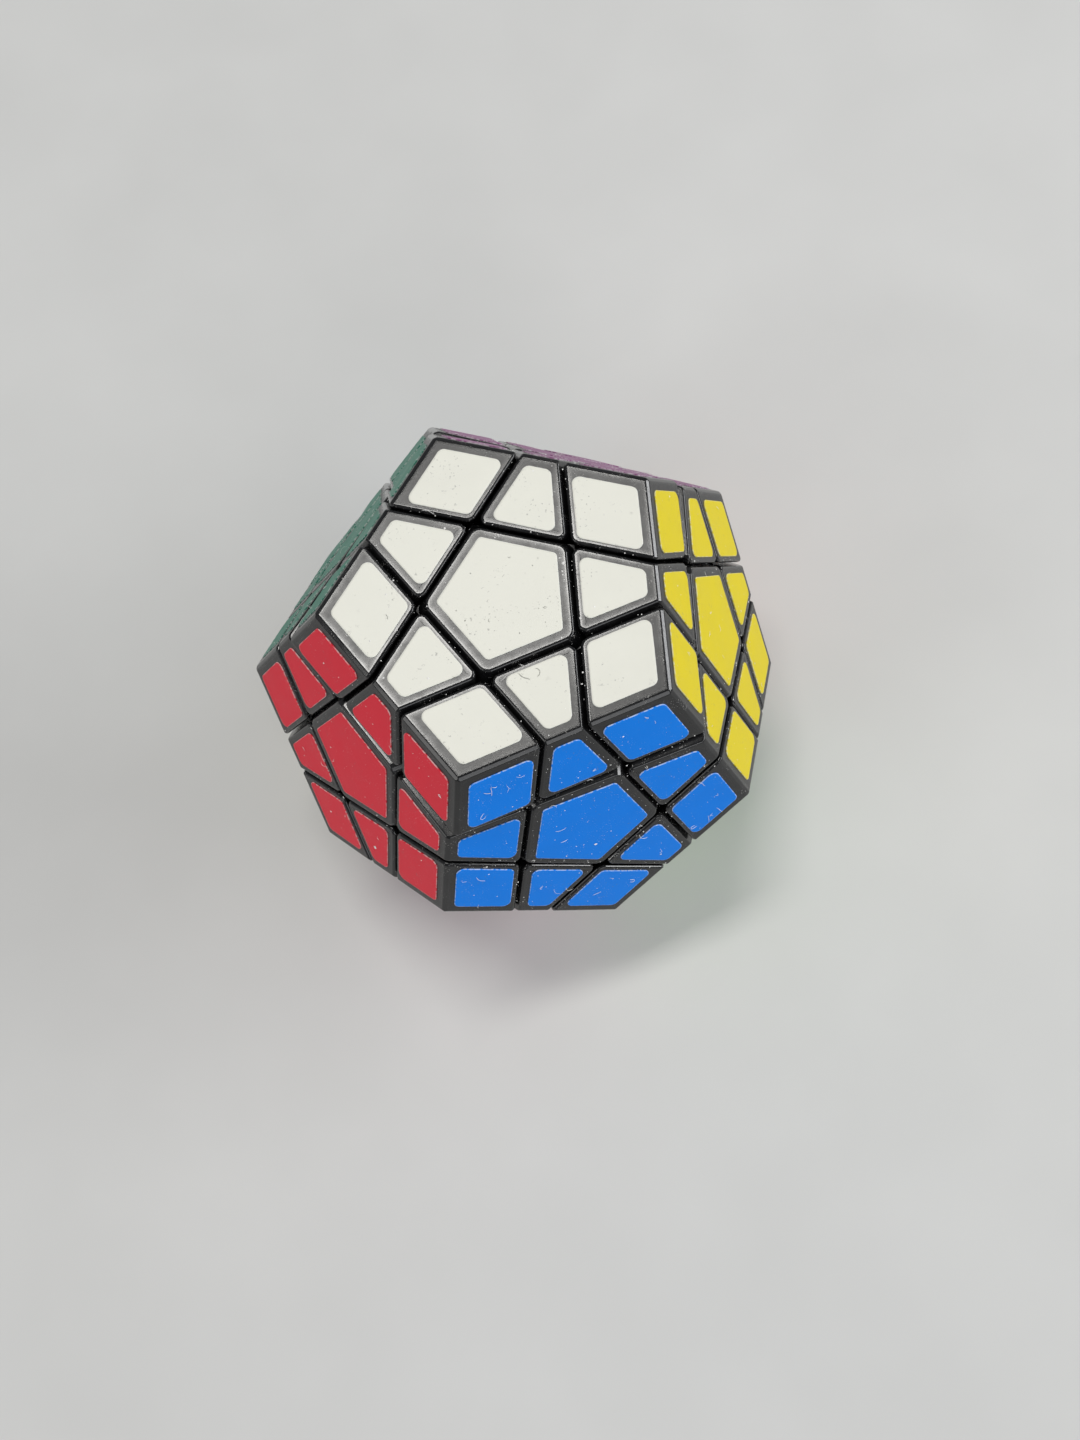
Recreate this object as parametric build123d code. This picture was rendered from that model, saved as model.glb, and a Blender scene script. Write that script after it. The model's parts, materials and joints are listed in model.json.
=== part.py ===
"""Twelve-sided turning puzzle: a ball with twelve posts, a sprung and screwed centre on each post,
and thirty edge and twenty corner pieces that hook under the centres and under each other.

The origin is the point where the twelve turning axes meet. +Z is the white face's axis, and the
blue face is on the -Y side. Each piece is built once, in a home place, and copied to its faces:
the home face looks along +Z, its first neighbour leans towards +X, and its second neighbour is
72 degrees further round, seen from outside.
"""
from build123d import *
import os
from itertools import combinations
from math import acos, asin, atan, cos, degrees, radians, sin, sqrt, tan

# ---- driving dimensions, in millimetres and degrees ----
ACROSS_FACES = 70.0      # between opposite plastic faces
LAYER_DEPTH = 10.95      # from a face down to the plane that its layer turns on
GAP = 0.4                # between neighbouring pieces
EDGE_ROUND = 0.65        # radius on the pieces' edges
WALL = 1.2               # wall of the hollow shells
SHELL_FIT = 0.05         # clearance of a foot's plug in its shell, and of a cap's in its collar
PLUG_HEIGHT = 3.0        # how far a foot's plug reaches into its shell
CORNER_SKIRT = 1.4       # how far a corner's shell reaches below the inner corners of its faces

CORNER_NECK = 2.6        # half width of a corner piece's neck, where it leaves the shell
HOOK_DEPTH = 5.86        # height of the ring that the centres' discs and the necks share
FOOT_DEPTH = 5.0         # height of the feet, hooked under that ring

BALL_RADIUS = 10.0       # core
POST_RADIUS = 2.8
POST_TOP = 15.9          # from the origin
POST_FIT = 0.05          # running clearance of a centre on its post

STEM_RADIUS = 4.55       # centre piece
STEM_CLEARANCE = 0.45    # between a stem and the feet around it
STEM_BOTTOM = 12.5
SEAT_GAP = 0.1           # between a post's top and the spring seat
SEAT_THICKNESS = 1.5
SPRING_WELL_RADIUS = 3.3
CAP_THICKNESS = 2.4
CAP_PLUG_HEIGHT = 1.6
COLLAR_WALL = 1.9

SCREW_RADIUS = 1.45
SCREW_BOTTOM = 4.2       # from the origin
SCREW_HEAD_RADIUS = 2.7
SCREW_HEAD_HEIGHT = 2.0
SCREW_HOLE_CLEARANCE = 0.3
THREAD_FIT = 0.05
RECESS_WIDTH = 0.9       # cross recess in the head
RECESS_LENGTH = 3.6
RECESS_DEPTH = 1.2
WASHER_RADIUS = 2.9
WASHER_THICKNESS = 0.5
WIRE_RADIUS = 0.25
SPRING_RADIUS = 2.35     # to the middle of the wire
SPRING_LENGTH = 6.0      # as fitted
SPRING_TURNS = 5.5

STICKER_THICKNESS = 0.15
STICKER_RADIUS = 1.1     # corner radius of the edge and corner stickers
CENTRE_STICKER_RADIUS = 0.75
CUT_MARGIN = 1.4         # from a cut's middle line to the sticker beside it
CENTRE_MARGIN = 1.6      # the same, for a centre sticker
RIDGE_MARGIN = 1.66      # from a ridge to the sticker beside it

# layers that turn in this assembly, each with the angle that it stands away from true
TURNING_LAYERS = {"white": 1.8, "pink": 0.0, "orange": 0.0}

# ---- angles and radii that follow ----
FACE_ANGLE = degrees(acos(1 / sqrt(5)))                      # between neighbouring face axes
RIDGE_ANGLE = FACE_ANGLE / 2                                 # from a face axis to a ridge's middle
TIP_ANGLE = degrees(acos(sqrt((5 + 2 * sqrt(5)) / 15)))      # from a face axis to a corner's tip
END_ANGLE = 90 - RIDGE_ANGLE                                 # from a ridge's middle to its end faces
INRADIUS = ACROSS_FACES / 2
CUT = INRADIUS - LAYER_DEPTH
CUT_LINE = (CUT - INRADIUS * cos(radians(FACE_ANGLE))) / sin(radians(FACE_ANGLE))
RIDGE_LINE = INRADIUS * tan(radians(RIDGE_ANGLE))            # from a face's middle to its ridge
NECK_CONE = TIP_ANGLE + degrees(atan(CORNER_NECK * cos(radians(TIP_ANGLE)) / CUT))
RING_TOP = CUT / cos(radians(NECK_CONE))
RING_BOTTOM = RING_TOP - HOOK_DEPTH
FOOT_BOTTOM = RING_BOTTOM - FOOT_DEPTH
FOOT_CONE = FACE_ANGLE - degrees(asin((STEM_RADIUS + STEM_CLEARANCE) / FOOT_BOTTOM))
DISC_CONE = FACE_ANGLE - NECK_CONE
EDGE_SPLIT = RING_TOP * cos(radians(END_ANGLE - NECK_CONE))
CORNER_SPLIT = (INRADIUS + 2 * CUT) / (3 * cos(radians(TIP_ANGLE))) - CORNER_SKIRT
SEAT_BOTTOM = POST_TOP + SEAT_GAP
SEAT_TOP = SEAT_BOTTOM + SEAT_THICKNESS
WASHER_BOTTOM = SEAT_TOP + SPRING_LENGTH
HEAD_BOTTOM = WASHER_BOTTOM + WASHER_THICKNESS
CAP_BOTTOM = INRADIUS - CAP_THICKNESS
COLLAR_BOTTOM = RING_TOP * cos(radians(DISC_CONE))
FAR = 2 * ACROSS_FACES                                       # larger than anything here


def direction(azimuth, elevation):
    """A unit vector from two angles in degrees."""
    level = cos(radians(elevation))
    return Vector(level * cos(radians(azimuth)), level * sin(radians(azimuth)), sin(radians(elevation)))


LEAN = 90 - FACE_ANGLE
FACES = {
    "white": Vector(0, 0, 1),
    "blue": direction(-90, LEAN),
    "yellow": direction(-18, LEAN),
    "purple": direction(54, LEAN),
    "green": direction(126, LEAN),
    "red": direction(198, LEAN),
    "light_green": direction(-54, -LEAN),
    "orange": direction(18, -LEAN),
    "light_blue": direction(90, -LEAN),
    "cream": direction(162, -LEAN),
    "pink": direction(234, -LEAN),
    "grey": Vector(0, 0, -1),
}
HOME = Vector(0, 0, 1)
FIRST = direction(0, LEAN)
SECOND = direction(72, LEAN)
BEFORE = direction(-72, LEAN)


def adjacent(one, other):
    """Do two faces share a ridge?"""
    return abs(one.get_angle(other) - FACE_ANGLE) < 1


def half_space(normal, distance):
    """All points whose height along normal is at most distance."""
    block = Box(FAR, FAR, FAR, align=(Align.CENTER, Align.CENTER, Align.MAX))
    return Plane(origin=normal.normalized() * distance, z_dir=normal).location * block


def cell(limits):
    """The convex solid below every (normal, distance) plane."""
    solid = half_space(*limits[0])
    for limit in limits[1:]:
        solid &= half_space(*limit)
    return solid


def on_cone(angle, grow, along):
    """A point (radius, height) beside a cone of half-angle angle about Z: along its slope, and
    grow outside it."""
    a = radians(angle)
    return along * sin(a) + grow * cos(a), along * cos(a) - grow * sin(a)


def layer(axis, grow):
    """Everything that turns with the face on axis, grown outwards by grow on its turning surface.

    The surface is flat outside RING_TOP, follows the neck cone through the ring, and follows the
    wider foot cone below it, so the feet hook under the ring.
    """
    neck, foot = radians(NECK_CONE), radians(FOOT_CONE)
    rim = on_cone(NECK_CONE, grow, (CUT - grow + grow * sin(neck)) / cos(neck))
    ledge = RING_BOTTOM + grow
    slope = sqrt(ledge**2 - grow**2)
    inner = on_cone(NECK_CONE, grow, slope)
    outer = on_cone(FOOT_CONE, grow, slope)
    middle = (neck + foot) / 2
    toe = on_cone(FOOT_CONE, grow, FOOT_BOTTOM / 2)
    outline = Polyline((0, 0, toe[1]), (0, 0, FAR), (FAR, 0, FAR), (FAR, 0, rim[1]),
                       (rim[0], 0, rim[1]), (inner[0], 0, inner[1]))
    step = ThreePointArc((inner[0], 0, inner[1]), (ledge * sin(middle), 0, ledge * cos(middle)),
                         (outer[0], 0, outer[1]))
    close = Polyline((outer[0], 0, outer[1]), (toe[0], 0, toe[1]), (0, 0, toe[1]))
    solid = revolve(make_face([*outline.edges(), *step.edges(), *close.edges()]), Axis.Z)
    return Plane(origin=(0, 0, 0), z_dir=axis).location * solid


def tube(radius, bottom, top, hole=0.0):
    """A round bar or tube about Z."""
    lift = Pos(0, 0, bottom)
    low = (Align.CENTER, Align.CENTER, Align.MIN)
    solid = lift * Cylinder(radius, top - bottom, align=low)
    if hole:
        solid -= lift * Cylinder(hole, top - bottom, align=low)
    return solid


def outline(lines):
    """A polygon from its sides, each (angle of its outward normal, distance from the middle)."""
    corners = []
    for (a, d), (b, e) in zip(lines, lines[1:] + lines[:1]):
        a, b = radians(a), radians(b)
        spread = sin(b - a)
        corners.append(((d * sin(b) - e * sin(a)) / spread, (e * cos(a) - d * cos(b)) / spread))
    return Polygon(*corners, align=None)


# ---- pieces, each in its home place ----
def make_core():
    """A ball with a post on each of the twelve axes, each post bored for its screw."""
    ball = Sphere(BALL_RADIUS)
    for axis in FACES.values():
        ball += Plane(origin=(0, 0, 0), z_dir=axis).location * tube(POST_RADIUS, 0, POST_TOP)
    for axis in FACES.values():
        bore = tube(SCREW_RADIUS + THREAD_FIT, SCREW_BOTTOM - THREAD_FIT, FAR)
        ball -= Plane(origin=(0, 0, 0), z_dir=axis).location * bore
    return ball


def make_screw():
    """A pan-headed screw with a cross recess."""
    head_top = HEAD_BOTTOM + SCREW_HEAD_HEIGHT
    head = tube(SCREW_HEAD_RADIUS, HEAD_BOTTOM, head_top)
    head = fillet(head.edges().group_by(Axis.Z)[-1], SCREW_HEAD_HEIGHT * 0.4)
    screw = head + tube(SCREW_RADIUS, SCREW_BOTTOM, HEAD_BOTTOM)
    slot = Box(RECESS_LENGTH, RECESS_WIDTH, RECESS_DEPTH, align=(Align.CENTER, Align.CENTER, Align.MAX))
    for turn in (0, 90):
        screw -= Pos(0, 0, head_top) * Rot(0, 0, turn) * slot
    return screw


def make_washer():
    """A plain washer under the screw's head."""
    return tube(WASHER_RADIUS, WASHER_BOTTOM, HEAD_BOTTOM, SCREW_RADIUS + SCREW_HOLE_CLEARANCE)


def make_spring():
    """An open coil of round wire, ground flat at both ends."""
    coil = Helix(SPRING_LENGTH / SPRING_TURNS, SPRING_LENGTH, SPRING_RADIUS)
    start = Plane(origin=coil @ 0, z_dir=coil % 0)
    wire = Pos(0, 0, SEAT_TOP) * sweep(start * Circle(WIRE_RADIUS), path=coil, is_frenet=True)
    return wire & tube(2 * SPRING_RADIUS, SEAT_TOP, WASHER_BOTTOM)


def centre_sides(inset):
    """The five cuts around a centre piece, moved in by inset."""
    return [(direction(72 * i, LEAN), CUT - inset) for i in range(5)]


def make_centre_base():
    """The stem that runs on the post, the disc that holds the feet in, and the collar for the cap."""
    slope = radians(DISC_CONE)
    low = RING_BOTTOM + GAP / 2
    rim = on_cone(DISC_CONE, -GAP / 2, sqrt(low**2 - GAP**2 / 4))
    top = on_cone(DISC_CONE, -GAP / 2, (COLLAR_BOTTOM - GAP / 2 * sin(slope)) / cos(slope))
    under = ThreePointArc((0, 0, low), (low * sin(slope / 2), 0, low * cos(slope / 2)), (rim[0], 0, rim[1]))
    side = Polyline((rim[0], 0, rim[1]), (top[0], 0, top[1]), (0, 0, top[1]), (0, 0, low))
    disc = revolve(make_face([*under.edges(), *side.edges()]), Axis.Z)
    collar = cell([(HOME, CAP_BOTTOM), (-HOME, -top[1]), *centre_sides(GAP / 2)])
    base = disc + collar + tube(STEM_RADIUS, STEM_BOTTOM, low + HOOK_DEPTH / 2)
    base -= tube(POST_RADIUS + POST_FIT, 0, SEAT_BOTTOM)
    base -= tube(SCREW_RADIUS + SCREW_HOLE_CLEARANCE, 0, FAR)
    base -= tube(SPRING_WELL_RADIUS, SEAT_TOP, FAR)
    base -= cap_plug(COLLAR_WALL, CAP_BOTTOM - CAP_PLUG_HEIGHT - SHELL_FIT, FAR)
    return base


def cap_plug(inset, bottom, top):
    """A straight five-sided block inside the collar, inset from its sides at the cap's underside."""
    half = (CUT - CAP_BOTTOM * cos(radians(FACE_ANGLE))) / sin(radians(FACE_ANGLE)) - inset
    sides = [(72 * i, half) for i in range(5)]
    return Pos(0, 0, bottom) * extrude(outline(sides), top - bottom)


def make_centre_cap():
    """The visible five-sided cap, with a hollow plug that presses into the collar."""
    plate = cell([(HOME, INRADIUS), (-HOME, -CAP_BOTTOM), *centre_sides(GAP / 2)])
    seen = plate.edges().filter_by_position(Axis.Z, CAP_BOTTOM + 0.1, INRADIUS)
    plate = fillet(seen, EDGE_ROUND)
    low = CAP_BOTTOM - CAP_PLUG_HEIGHT
    plate += cap_plug(COLLAR_WALL + SHELL_FIT, low, CAP_BOTTOM)
    return plate - cap_plug(COLLAR_WALL + SHELL_FIT + WALL, low - 1, CAP_BOTTOM)


def edge_sides(inset):
    """The two faces, two cuts and two end cuts around an edge piece, moved in by inset."""
    faces = [(n, INRADIUS - inset) for n in (HOME, FIRST)]
    cuts = [(-n, -CUT - GAP / 2 - inset) for n in (HOME, FIRST)]
    ends = [(n, CUT - GAP / 2 - inset) for n in (SECOND, BEFORE)]
    return faces + cuts + ends


def corner_sides(inset):
    """The three faces and three cuts around a corner piece, moved in by inset."""
    faces = [(n, INRADIUS - inset) for n in (HOME, FIRST, SECOND)]
    cuts = [(-n, -CUT - GAP / 2 - inset) for n in (HOME, FIRST, SECOND)]
    return faces + cuts


def make_shell(sides, outward, split):
    """A hollow shell, rounded on every edge and open where its foot plugs in."""
    keep = half_space(-outward, -split)
    solid = cell(sides(0))
    solid = fillet(solid.edges(), EDGE_ROUND) & keep
    return solid - cell(sides(WALL))


def make_foot(sides, outward, split, own, others):
    """A foot with its neck and its plug: inside the layers it turns with, outside the others.

    The plug rises straight from the shell's mouth and tapers where the shell's walls lean in.
    """
    foot = half_space(outward, split)
    for axis in own:
        foot &= layer(axis, -GAP / 2)
    for axis in others:
        foot -= layer(axis, GAP / 2)
    foot -= Sphere(FOOT_BOTTOM)
    inside = cell([*sides(WALL + SHELL_FIT), (-outward, -split)])
    mouth = inside.faces().sort_by(Axis((0, 0, 0), tuple(outward)))[0]
    return foot + (extrude(mouth, PLUG_HEIGHT, dir=outward) & inside)


RIDGE_MIDDLE = (HOME + FIRST).normalized()
TIP = (HOME + FIRST + SECOND).normalized()


def make_sticker(lines, radius):
    """A vinyl sticker on the home face, with rounded corners."""
    shape = outline(lines)
    shape = fillet(shape.vertices(), radius)
    return Pos(0, 0, INRADIUS) * extrude(shape, STICKER_THICKNESS)


def make_stickers():
    """The home face's centre sticker, one edge sticker and one corner sticker."""
    near, far = CUT_LINE + CUT_MARGIN, RIDGE_LINE - RIDGE_MARGIN
    centre = [(72 * i, CUT_LINE - CENTRE_MARGIN) for i in range(5)]
    edge = [(0, far), (72, CUT_LINE - CUT_MARGIN), (180, -near), (288, CUT_LINE - CUT_MARGIN)]
    corner = [(0, far), (72, far), (180, -near), (252, -near)]
    return (make_sticker(centre, CENTRE_STICKER_RADIUS), make_sticker(edge, STICKER_RADIUS),
            make_sticker(corner, STICKER_RADIUS))


# ---- assembly ----
def place(face, neighbour):
    """Where the home place goes when its face and first neighbour are these two."""
    n, m = FACES[face], FACES[neighbour]
    return Plane(origin=(0, 0, 0), x_dir=m - n * n.dot(m), z_dir=n).location


def layer_of(faces):
    """The turning layer that a piece on these faces belongs to, or None."""
    return next((name for name in TURNING_LAYERS if name in faces), None)


nodes = {}


def add(name, faces, solid):
    """Put a piece of these faces in its node, turned as its layer stands."""
    own = layer_of(faces)
    if own:
        solid = solid.rotate(Axis((0, 0, 0), tuple(FACES[own])), TURNING_LAYERS[own])
        name = f"{own}_layer_{name}"
    nodes.setdefault(name, []).extend(solid.solids())


screw, washer, spring = make_screw(), make_washer(), make_spring()
base, cap = make_centre_base(), make_centre_cap()
edge_shell = make_shell(edge_sides, RIDGE_MIDDLE, EDGE_SPLIT)
edge_foot = make_foot(edge_sides, RIDGE_MIDDLE, EDGE_SPLIT, (HOME, FIRST), (SECOND, BEFORE))
corner_shell = make_shell(corner_sides, TIP, CORNER_SPLIT)
corner_foot = make_foot(corner_sides, TIP, CORNER_SPLIT, (HOME, FIRST, SECOND), ())
centre_sticker, edge_sticker, corner_sticker = make_stickers()

nodes["core"] = make_core().solids()
for name, axis in FACES.items():
    around = [other for other in FACES if adjacent(axis, FACES[other])]
    home = place(name, around[0])
    nodes.setdefault("screws", []).extend((home * screw).solids())
    nodes.setdefault("washers", []).extend((home * washer).solids())
    single = "" if name in TURNING_LAYERS else "s"
    add("spring" + single, {name}, home * spring)
    add("centre_base" + single, {name}, home * base)
    add("centre_cap" + single, {name}, home * cap)
    add("stickers_" + name, {name}, home * centre_sticker)
    for first in around:
        here = place(name, first)
        add("stickers_" + name, {name, first}, here * edge_sticker)
        second = next(o for o in around if (here * Pos(SECOND)).position.dot(FACES[o]) > 0.999)
        add("stickers_" + name, {name, first, second}, here * corner_sticker)

for pair in combinations(FACES, 2):
    if adjacent(*(FACES[name] for name in pair)):
        add("edge_shells", pair, place(*pair) * edge_shell)
        add("edge_feet", pair, place(*pair) * edge_foot)

for one, two, three in combinations(FACES, 3):
    n, m, o = FACES[one], FACES[two], FACES[three]
    if adjacent(n, m) and adjacent(n, o) and adjacent(m, o):
        trio = (one, two) if n.dot(m.cross(o)) > 0 else (two, one)
        add("corner_shells", {one, two, three}, place(*trio) * corner_shell)
        add("corner_feet", {one, two, three}, place(*trio) * corner_foot)

os.makedirs("parts", exist_ok=True)
for name, solids in nodes.items():
    export_step(Compound(solids), f"parts/{name}.step")
print(len(nodes), "nodes,", sum(len(s) for s in nodes.values()), "solids")
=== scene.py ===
import json
from itertools import combinations
import bpy
import numpy as np
from mathutils import Matrix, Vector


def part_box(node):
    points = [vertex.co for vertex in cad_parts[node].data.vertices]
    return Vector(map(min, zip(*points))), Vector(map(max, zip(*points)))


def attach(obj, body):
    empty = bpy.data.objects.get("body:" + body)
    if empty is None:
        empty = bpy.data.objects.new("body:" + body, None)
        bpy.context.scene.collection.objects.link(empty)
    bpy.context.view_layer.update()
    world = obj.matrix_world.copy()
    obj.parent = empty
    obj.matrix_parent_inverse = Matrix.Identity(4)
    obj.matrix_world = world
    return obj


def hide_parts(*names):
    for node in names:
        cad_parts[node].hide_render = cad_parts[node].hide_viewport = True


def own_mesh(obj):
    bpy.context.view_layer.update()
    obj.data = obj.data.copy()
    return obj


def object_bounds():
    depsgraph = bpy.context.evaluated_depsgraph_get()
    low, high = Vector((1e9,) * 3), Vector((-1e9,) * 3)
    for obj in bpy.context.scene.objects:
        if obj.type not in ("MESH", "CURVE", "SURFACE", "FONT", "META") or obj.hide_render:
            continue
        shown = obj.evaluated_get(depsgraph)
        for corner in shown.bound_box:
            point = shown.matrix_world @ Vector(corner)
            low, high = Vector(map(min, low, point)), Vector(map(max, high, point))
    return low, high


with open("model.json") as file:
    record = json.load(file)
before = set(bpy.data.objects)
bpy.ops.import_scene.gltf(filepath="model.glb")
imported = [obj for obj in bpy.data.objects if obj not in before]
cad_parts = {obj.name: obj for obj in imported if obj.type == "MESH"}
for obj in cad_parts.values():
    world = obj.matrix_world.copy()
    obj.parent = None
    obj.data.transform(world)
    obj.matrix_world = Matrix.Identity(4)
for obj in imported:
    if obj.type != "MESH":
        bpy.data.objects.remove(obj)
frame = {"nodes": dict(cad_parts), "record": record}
cad_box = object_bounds()
NODES = frame["nodes"]
BODIES = frame["record"]["behaviour"]["bodies"]


# ---- Core ----
# A ball with twelve posts, moulded in one shot of dark grey nylon. It holds the twelve screws and is
# hidden behind the feet, so it keeps its shape from the frame and gets a dull, faintly grained skin.

class Field:
    """A value, colour or vector inside a material. Arithmetic on a value adds Math nodes."""

    def __init__(self, tree, socket):
        self.tree, self.socket = tree, socket

    def node(self, kind, settings=None, values=None, out=0):
        """Adds a node of this kind: its settings first, then a number or a Field for each socket."""
        made = self.tree.nodes.new(kind)
        for name, value in (settings or {}).items():
            setattr(made, name, value)
        for name, value in (values or {}).items():
            if isinstance(value, Field):
                self.tree.links.new(value.socket, made.inputs[name])
            else:
                made.inputs[name].default_value = value
        return Field(self.tree, made.outputs[out])

    def math(self, operation, *others):
        return self.node("ShaderNodeMath", {"operation": operation}, dict(enumerate(others)))

    def __add__(self, other):
        return self.math("ADD", self, other)

    def __sub__(self, other):
        return self.math("SUBTRACT", self, other)

    def __rsub__(self, other):
        return self.math("SUBTRACT", other, self)

    def __mul__(self, other):
        return self.math("MULTIPLY", self, other)

    __radd__ = __add__
    __rmul__ = __mul__

    def rise(self, low, high):
        """0 below low, 1 above high, smooth between them."""
        return self.node("ShaderNodeMapRange", {"interpolation_type": "SMOOTHSTEP"},
                         {"Value": self, "From Min": low, "From Max": high})

    def blend(self, first, second):
        """A colour that goes from first to second as this value goes from 0 to 1."""
        return self.node("ShaderNodeMix", {"data_type": "RGBA"}, {0: self, 6: first, 7: second}, out=2)

    def noise(self, scale, detail=2.0, rough=0.5):
        """Cloudy noise, 0 to 1, on these coordinates in metres: scale is patches per metre."""
        return self.node("ShaderNodeTexNoise", None, {"Vector": self, "Scale": scale, "Detail": detail,
                                                      "Roughness": rough})


def start_material(name, **constants):
    """A new material: its tree's shader, with these constants set, and the object's coordinates."""
    material = bpy.data.materials.new(name)
    material.use_nodes = True
    tree = material.node_tree
    shader = tree.nodes["Principled BSDF"]
    for socket, value in constants.items():
        shader.inputs[socket.replace("_", " ")].default_value = value
    spot = tree.nodes.new("ShaderNodeTexCoord")
    return material, shader, Field(tree, spot.outputs["Object"])


def feed(shader, socket, field):
    """Links a field to one of the shader's sockets."""
    field.tree.links.new(field.socket, shader.inputs[socket])


def emboss(shader, height, strength, depth):
    """Raises the surface by height times depth metres, by bump."""
    bump = height.node("ShaderNodeBump", None, {"Strength": strength, "Distance": depth, "Height": height})
    feed(shader, "Normal", bump)


def moulded(name, tone, roughness):
    """A plain moulding: a base tone that drifts a little, and a fine grain from the tool's skin."""
    material, shader, spot = start_material(name)
    drift = spot.noise(260.0, 3.0)
    feed(shader, "Base Color", drift.blend((*[t * 0.8 for t in tone], 1), (*[t * 1.3 for t in tone], 1)))
    feed(shader, "Roughness", roughness + (drift - 0.5) * 0.15)
    emboss(shader, spot.noise(9000.0, 2.0), 0.25, 0.00002)
    return material


def finish_nodes(material, slot, *nodes):
    """Gives whole frame nodes a material. The slot argument is not used."""
    for node in nodes:
        mesh = NODES[node].data
        mesh.materials.clear()
        mesh.materials.append(material)


finish_nodes(moulded("dark nylon", (0.030, 0.030, 0.032), 0.55), "core_plastic", "core")


# ---- Screws and washers ----
# Twelve pan-headed screws with a cross recess and their washers, in zinc-plated steel. They hold
# the centres on the posts, and turned heads show fine rings and a few dull plating stains.

def plated(name, tone, roughness):
    """Bright metal with stains in its plating and fine drawn lines."""
    material, shader, spot = start_material(name, Metallic=1.0)
    stain = spot.noise(900.0, 4.0).rise(0.45, 0.75)
    feed(shader, "Base Color", stain.blend((*tone, 1), (*[t * 0.62 for t in tone], 1)))
    feed(shader, "Roughness", roughness + stain * 0.2)
    emboss(shader, spot.noise(14000.0, 1.0), 0.2, 0.00001)
    return material


finish_nodes(plated("zinc plate", (0.63, 0.62, 0.58), 0.28), "steel", "screws", "washers")


# ---- Springs ----
# One coil of drawn steel wire under each washer, ground flat at both ends. It presses the centre
# down on its post.

SEAT, UNDER_WASHER = 17.5, 23.5                             # ends of the coil, in mm from the middle
COIL_RADIUS, WIRE_RADIUS, TURNS = 2.35, 0.25, 5.5
LAYERS = ("white", "pink", "orange")                        # the layers that turn and float
lean = np.arctan(0.5)                                       # of the ten side faces, up or down


def heading(azimuth, elevation):
    """A unit vector from two angles: the azimuth in degrees, the elevation in radians."""
    a = np.radians(azimuth)
    return np.array([np.cos(a) * np.cos(elevation), np.sin(a) * np.cos(elevation), np.sin(elevation)])


FACES = {"white": heading(0, np.pi / 2), "blue": heading(-90, lean), "yellow": heading(-18, lean),
         "purple": heading(54, lean), "green": heading(126, lean), "red": heading(198, lean),
         "light_green": heading(-54, -lean), "orange": heading(18, -lean),
         "light_blue": heading(90, -lean), "cream": heading(162, -lean), "pink": heading(234, -lean),
         "grey": heading(0, -np.pi / 2)}


def unit(vectors):
    """Vectors of length 1 along these."""
    return vectors / np.linalg.norm(vectors, axis=-1, keepdims=True)


def coil(sides=10, steps=230):
    """Round wire along a helix about Z: a ring (cos v, sin v) on the outward and upward directions,
    carried round by u. Heights are clipped to the seat and the washer, which grinds the ends flat."""
    u = np.linspace(0, 2 * np.pi * TURNS, steps)[:, None]
    v = np.linspace(0, 2 * np.pi, sides, endpoint=False)[None]
    reach = COIL_RADIUS + WIRE_RADIUS * np.cos(v) + 0 * u
    height = SEAT + (UNDER_WASHER - SEAT) * u / u.max() + WIRE_RADIUS * np.sin(v)
    height = np.clip(height, SEAT + 0.002, UNDER_WASHER - 0.002)
    number = np.arange(steps * sides).reshape(steps, sides)
    after = np.roll(number, -1, 1)
    walls = np.stack([number[:-1], number[1:], after[1:], after[:-1]], -1).reshape(-1, 4).tolist()
    points = np.stack([reach * np.cos(u), reach * np.sin(u), height], -1).reshape(-1, 3)
    return points, walls + [number[0].tolist(), number[-1, ::-1].tolist()]


def upright_on(axis):
    """A matrix whose third column is this axis."""
    side = unit(np.cross(axis, [0.3, 0.5, 0.8]))
    return np.column_stack([side, np.cross(axis, side), axis])


wire, wire_faces = coil()
spring_wire = plated("spring wire", (0.52, 0.52, 0.53), 0.22)
sprung = {"springs": [f for f in FACES if f not in LAYERS]} | {f + "_layer_spring": [f] for f in LAYERS}
for node, places in sprung.items():
    mesh = bpy.data.meshes.new("coiled_" + node)
    points = np.concatenate([wire @ upright_on(FACES[f]).T for f in places])
    mesh.from_pydata(points * 0.001, [], [[n + k * len(wire) for n in face] for k in range(len(places))
                                          for face in wire_faces])
    mesh.shade_smooth()
    mesh.materials.append(spring_wire)
    spring = bpy.data.objects.new("coiled_" + node, mesh)
    bpy.context.scene.collection.objects.link(spring)
    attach(spring, next(body for body, members in BODIES.items() if node in members))
    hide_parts(node)
    if len(places) == 1:
        axis = FACES[places[0]]
        places[0] + "_float"
        axis * SEAT * 0.001
        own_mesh(spring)


# ---- Centre pieces and feet ----
# The stems, discs and hooked feet are moulded in black ABS and slide on each other, so their skins
# are polished in places by the turning and carry a film of grease. They keep the frame's shape.

def greased(name):
    """Black ABS that is shiny where it is greased or rubbed."""
    material, shader, spot = start_material(name)
    film = spot.noise(180.0, 3.0).rise(0.4, 0.65)
    feed(shader, "Base Color", film.blend((0.016, 0.016, 0.017, 1), (0.010, 0.010, 0.010, 1)))
    feed(shader, "Roughness", 0.42 - film * 0.22)
    emboss(shader, spot.noise(7000.0, 2.0), 0.2, 0.00002)
    return material


finish_nodes(greased("greased black"), "black_inner", *[n for n in NODES if "base" in n or "feet" in n])


# ---- Shells and caps ----
# The outside of every edge and corner is a hollow shell, and every centre has a five-sided cap, all
# injection moulded in black ABS. Their ribs are rounded, polished by hands, and dusty in the gaps.

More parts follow.
